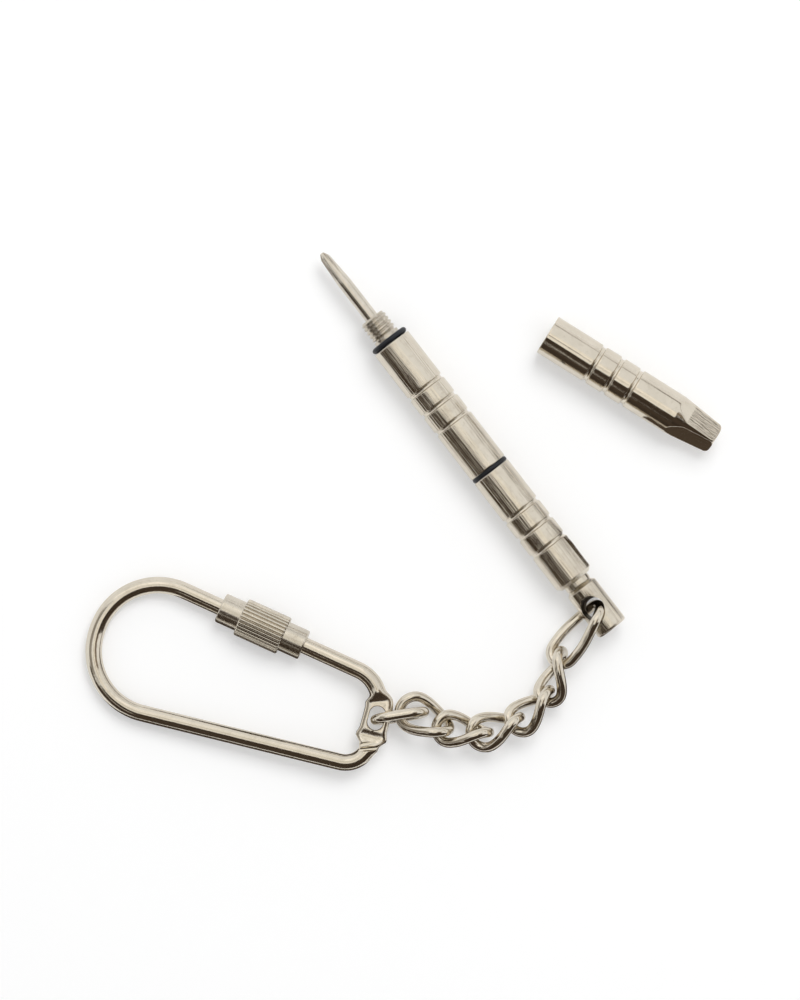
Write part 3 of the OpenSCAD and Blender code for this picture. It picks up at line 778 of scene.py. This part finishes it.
def ring_mesh():
    path = ring_path()
    along = direction(EYELET_ANGLE)
    across = np.array([along[1], -along[0]])
    sides = 40
    ahead = np.gradient(path, axis=0)
    ahead /= np.linalg.norm(ahead, axis=1)[:, None]
    verts = []
    for p, t in zip(path, ahead):
        v, w = float(p @ along), float(p @ across)
        on_side = abs(w) < 2.2 and -1 < v < EYELET_SIDE + 1
        flat = hump(v, 1.9, 3.6, 10.2, 11.6) if on_side else 0.0
        crimp = hump(v, 8.9, 9.7, 11.9, 13.0) if on_side else 0.0
        half_w = RING_R + (PAD_W / 2 - RING_R) * flat + 0.35 * crimp
        half_t = RING_R - (RING_R - PAD_T / 2) * flat - 0.2 * crimp
        power = 2 + 2.2 * flat + 1.2 * crimp
        n = np.array([-t[1], t[0]])
        for j in range(sides):
            g = TAU * j / sides
            c, s = math.cos(g), math.sin(g)
            k = (abs(c) ** power + abs(s) ** power) ** (-1 / power)
            verts.append((p[0] + n[0] * half_w * k * c, p[1] + n[1] * half_w * k * c, half_t * k * s))
    m = len(path)
    faces = wrapped_faces(m, sides)
    faces += [tuple(range(sides)), tuple((m - 1) * sides + j for j in range(sides))]
    return mesh_object("bent_key_ring", verts, faces)


def stadium(name, half_w, half_len, half_t, flare=0.0):
    """A slot-shaped plug along the eyelet, with ends that flare."""
    rows = [(-half_t, flare), (-half_t + 0.5, 0.0), (half_t - 0.5, 0.0), (half_t, flare)]
    verts = []
    n = 40
    for z, f in rows:
        for j in range(n):
            g = TAU * j / n
            x = (half_w + f) * math.cos(g) + math.copysign(half_len - half_w, math.cos(g))
            verts.append((x, (half_w + f) * math.sin(g), z))
    faces = wrapped_faces(len(rows), n)
    faces += [tuple(range(n)), tuple(3 * n + j for j in range(n))]
    return mesh_object(name, verts, faces)


ring = ring_mesh()
at_eyelet = place((SLOT_MIDDLE[0], SLOT_MIDDLE[1], 0), (EYELET_ANGLE, "Z"))
slot_cut = stadium("slot_cutter", SLOT_W / 2, SLOT_LEN / 2 - SLOT_SHIFT, PAD_T / 2 + 0.35, 0.45)
transformed(slot_cut, at_eyelet)
transformed(slot_cut, Matrix.Translation(Vector((*(-SLOT_SHIFT * direction(EYELET_ANGLE)), 0)) * MM))
cutters = [slot_cut]
NOTCH = [(-3.4, 0), (-3.4, 0.3), (-2.6, 0.46), (2.6, 0.46), (3.4, 0.3), (3.4, 0)]
for k, (v, w, angle) in enumerate([(9.5, 0.5, 24), (10.4, -0.2, 16), (11.3, 0.4, 28), (12.2, 0, 20)]):
    for s in (1, -1):
        notch = lathe(f"notch_{k}_{s}", NOTCH, sides=16)
        p = v * direction(EYELET_ANGLE) + w * direction(EYELET_ANGLE - 90)
        transformed(notch, place((p[0], p[1], s * 1.4), (EYELET_ANGLE + 90 + s * angle, "Z")))
        cutters.append(notch)
cut_by(ring, *cutters)
soften_edges(ring, 0.1, 40)
transformed(ring, IN_RING)
dress(ring, LINK_NICKEL, "ring", "polished_nickel", "key_ring")


# lock sleeve
def sleeve_mesh():
    end_len, knurl_len = 4.0, 8.4
    end_r, mid_r, bore = 2.75, 3.5, 1.56
    count, depth = 30, 0.42
    nj = count * 12
    rows = []
    knurl_end = end_len + knurl_len
    length = knurl_end + end_len
    profile = rounded([
        (0, bore), (0, end_r), (end_len, end_r), (end_len, mid_r), (knurl_end, mid_r), (knurl_end, end_r),
        (length, end_r), (length, bore)], [0, 0.28, 0.06, 0.3, 0.3, 0.06, 0.28, 0], steps=6)
    dense = [profile[0]]
    for a, b in zip(profile, profile[1:]):
        n = max(1, int(abs(b[0] - a[0]) / 0.7))
        dense += [(a[0] + (b[0] - a[0]) * k / n, a[1] + (b[1] - a[1]) * k / n) for k in range(1, n + 1)]
    for x, r in dense:
        row = []
        on = 1.0 if r > end_r + 0.02 and x > end_len - 0.01 else 0.0
        rise = max(0.0, min(1.0, (r - end_r) / (mid_r - end_r - depth))) * on
        for j in range(nj):
            t = (j / nj * count) % 1.0
            valley = max(0.0, 1 - abs(t - 0.5) / 0.27)
            cut = depth * min(1.0, valley * 1.35) * rise
            row.append((x, min(r, mid_r) - cut if r > mid_r - depth - 0.4 else r - 0.3 * cut))
        rows.append(row)
    rows.append([(length, bore)] * nj)
    faces = wrapped_faces(len(rows), nj, closed=True)
    return mesh_object("knurled_lock_sleeve", turned_points(rows, -SLEEVE_LEN / 2), faces)


sleeve = transformed(sleeve_mesh(), IN_RING @ Matrix.Translation(Vector((SLEEVE_AT, 0, 0)) * MM))
dress(sleeve, KNURLED, "sleeve", "satin_nickel", "lock_sleeve")

# floor, light and camera
SCALE = 0.1786 * MM
U = np.array([0.61298, 0.79013])
N = np.array([-0.79013, 0.61298])
ORIGIN_PX = np.array([384.38, 334.17])


def row_at(px, py):
    """Place on the table, in metres, that a pixel of the photograph shows."""
    d = np.array([px, py]) - ORIGIN_PX
    return -(d @ U) * SCALE, (d @ N) * SCALE


RIGHT = Vector((-U[0], N[0], 0))
UP = Vector((U[1], -N[1], 0))
BACK = Vector((0, 0, 1))
centre_x, centre_y = row_at(400, 500)
CAMERA_HEIGHT = 0.80
camera_data = bpy.data.cameras.new("camera")
camera = bpy.data.objects.new("camera", camera_data)
bpy.context.scene.collection.objects.link(camera)
camera.matrix_world = Matrix(((RIGHT.x, UP.x, BACK.x, centre_x), (RIGHT.y, UP.y, BACK.y, centre_y),
                              (RIGHT.z, UP.z, BACK.z, CAMERA_HEIGHT), (0, 0, 0, 1)))
camera_data.sensor_fit = "VERTICAL"
camera_data.sensor_height = 24.0
camera_data.lens = 24.0 * CAMERA_HEIGHT / (1000 * SCALE)
camera_data.clip_start = 0.01
camera_data.clip_end = 20
bpy.context.scene.camera = camera


def seen_directly(tree):
    """1 for camera, glossy and transmission rays, and 0 for the rays that light the object."""
    path = tree.nodes.new("ShaderNodeLightPath")
    first = tree.nodes.new("ShaderNodeMath")
    first.operation = "MAXIMUM"
    tree.links.new(path.outputs["Is Camera Ray"], first.inputs[0])
    tree.links.new(path.outputs["Is Glossy Ray"], first.inputs[1])
    second = tree.nodes.new("ShaderNodeMath")
    second.operation = "MAXIMUM"
    tree.links.new(first.outputs[0], second.inputs[0])
    tree.links.new(path.outputs["Is Transmission Ray"], second.inputs[1])
    return second.outputs[0]


def floor_material():
    mat = bpy.data.materials.new("pale_floor")
    mat.use_nodes = True
    tree = mat.node_tree
    tree.nodes.clear()
    out = tree.nodes.new("ShaderNodeOutputMaterial")
    diffuse = tree.nodes.new("ShaderNodeBsdfDiffuse")
    diffuse.inputs["Color"].default_value = (0.8, 0.8, 0.8, 1)
    glow = tree.nodes.new("ShaderNodeEmission")
    glow.inputs["Color"].default_value = (1, 1, 1, 1)
    scale = tree.nodes.new("ShaderNodeMath")
    scale.operation = "MULTIPLY"
    scale.inputs[1].default_value = 0.26
    tree.links.new(seen_directly(tree), scale.inputs[0])
    tree.links.new(scale.outputs[0], glow.inputs["Strength"])
    add = tree.nodes.new("ShaderNodeAddShader")
    tree.links.new(diffuse.outputs[0], add.inputs[0])
    tree.links.new(glow.outputs[0], add.inputs[1])
    tree.links.new(add.outputs[0], out.inputs["Surface"])
    return mat


def plane(name, size, matrix, material):
    h = size / 2
    mesh = bpy.data.meshes.new(name)
    mesh.from_pydata([(-h, -h, 0), (h, -h, 0), (h, h, 0), (-h, h, 0)], [], [(0, 1, 2, 3)])
    mesh.materials.append(material)
    obj = bpy.data.objects.new(name, mesh)
    obj.matrix_world = matrix
    bpy.context.scene.collection.objects.link(obj)
    return obj


plane("floor", 8.0, Matrix.Translation((centre_x, centre_y, FLOOR_Z * MM - 1e-5)), floor_material())

world = bpy.data.worlds.new("world")
bpy.context.scene.world = world
world.use_nodes = True
tree = world.node_tree
tree.nodes.clear()
out = tree.nodes.new("ShaderNodeOutputWorld")
background = tree.nodes.new("ShaderNodeBackground")
background.inputs["Color"].default_value = (1, 1, 1, 1)
strength = tree.nodes.new("ShaderNodeMapRange")
strength.inputs["To Min"].default_value = 0.62
strength.inputs["To Max"].default_value = 1.0
tree.links.new(seen_directly(tree), strength.inputs["Value"])
tree.links.new(strength.outputs["Result"], background.inputs["Strength"])
tree.links.new(background.outputs[0], out.inputs["Surface"])


def looking_at(position, target):
    z = (Vector(position) - Vector(target)).normalized()
    x = Vector((0, 0, 1)).cross(z).normalized()
    y = z.cross(x)
    rows = [(x[i], y[i], z[i], position[i]) for i in range(3)]
    return Matrix((*rows, (0, 0, 0, 1)))


def towards(right, up, rise, distance):
    """A place seen from the middle of the picture: to its right, to its top, and above the table."""
    way = RIGHT * right + UP * up + BACK * rise
    way = way.normalized() * distance
    return (centre_x + way.x, centre_y + way.y, way.z)


def softbox(name, place_at, size, power):
    light = bpy.data.lights.new(name, "AREA")
    light.shape = "RECTANGLE"
    light.size, light.size_y = size
    light.energy = power
    obj = bpy.data.objects.new(name, light)
    obj.matrix_world = looking_at(place_at, (centre_x, centre_y, 0))
    obj.visible_glossy = False
    bpy.context.scene.collection.objects.link(obj)
    return obj


softbox("key_softbox", towards(0.3, 0.62, 1.0, 1.1), (0.6, 0.6), 5.4)


def card_material(name, colour):
    """Even glow with soft, uneven patches, as cloth or card in a room has."""
    mat = bpy.data.materials.new(name)
    mat.use_nodes = True
    tree = mat.node_tree
    tree.nodes.clear()
    out = tree.nodes.new("ShaderNodeOutputMaterial")
    glow = tree.nodes.new("ShaderNodeEmission")
    coords = tree.nodes.new("ShaderNodeTexCoord")
    patch = noise(tree, coords.outputs["Object"], 3.2, 2.5, 0.55)
    low = tuple(c * 0.55 for c in colour)
    tree.links.new(ramp(tree, patch, [(0.35, low), (0.6, colour)]), glow.inputs["Color"])
    tree.links.new(glow.outputs[0], out.inputs["Surface"])
    return mat


def seen_in_reflections(name, mesh):
    obj = bpy.data.objects.new(name, mesh)
    bpy.context.scene.collection.objects.link(obj)
    obj.visible_camera = False
    obj.visible_diffuse = False
    obj.visible_shadow = False


def card(name, around, rise, colour, distance=1.6):
    """A curved card that only reflections see: degrees round the picture from its right, and degrees up."""
    verts, faces = [], []
    steps, rows = 24, 6
    for k in range(steps + 1):
        a = math.radians(around[0] + (around[1] - around[0]) * k / steps)
        for i in range(rows + 1):
            g = math.radians(rise[0] + (rise[1] - rise[0]) * i / rows)
            way = ((RIGHT * math.cos(a) + UP * math.sin(a)) * math.cos(g) + BACK * math.sin(g)) * distance
            verts.append((centre_x + way.x, centre_y + way.y, way.z))
    for k in range(steps):
        for i in range(rows):
            a = k * (rows + 1) + i
            faces.append((a, a + 1, a + rows + 2, a + rows + 1))
    mesh = bpy.data.meshes.new(name)
    mesh.from_pydata(verts, [], faces)
    mesh.materials.append(card_material(name, colour))
    seen_in_reflections(name, mesh)


card("dark_room", (206, 338), (0, 73), (0.075, 0.055, 0.040))
card("dark_room_left", (192, 206), (8, 30), (0.10, 0.08, 0.06))
card("light_gap", (200, 240), (41, 47), (0.95, 0.92, 0.86), 1.5)
card("key_card", (62, 142), (44, 86), (1.5, 1.47, 1.40), 1.5)
card("grey_wall", (150, 200), (28, 62), (0.42, 0.39, 0.35))
card("brown_wall", (-22, 18), (48, 80), (0.40, 0.33, 0.26))
card("right_line", (10, 75), (19, 24), (0.30, 0.27, 0.23), 1.5)
card("top_light", (-20, 340), (76, 87), (1.30, 1.25, 1.15), 1.45)
card("camera_shade", (0, 360), (87.6, 90), (0.22, 0.19, 0.16), 1.4)


def floor_card(name, corners):
    """A dark card on the table that only reflections see, between pixels of the photograph."""
    mesh = bpy.data.meshes.new(name)
    height = (FLOOR_Z + 0.03) * MM
    mesh.from_pydata([(*row_at(*c), height) for c in corners], [], [tuple(range(len(corners)))])
    mesh.materials.append(card_material(name, (0.10, 0.075, 0.055)))
    seen_in_reflections(name, mesh)


floor_card("cap_shade", [(628, 442), (735, 490), (683, 590), (576, 540)])
floor_card("ring_shade", [
    (98, 680), (148, 713), (200, 732), (292, 763), (345, 768), (372, 758), (395, 830), (335, 870), (100, 830)])
floor_card("gate_shade", [(170, 604), (372, 697), (350, 740), (160, 650)])
floor_card("chain_shade", [
    (400, 742), (470, 752), (510, 753), (540, 735), (560, 700), (582, 670), (612, 640), (680, 700), (600, 800),
    (480, 830), (390, 800)])

scene = bpy.context.scene
scene.view_settings.view_transform = "Standard"
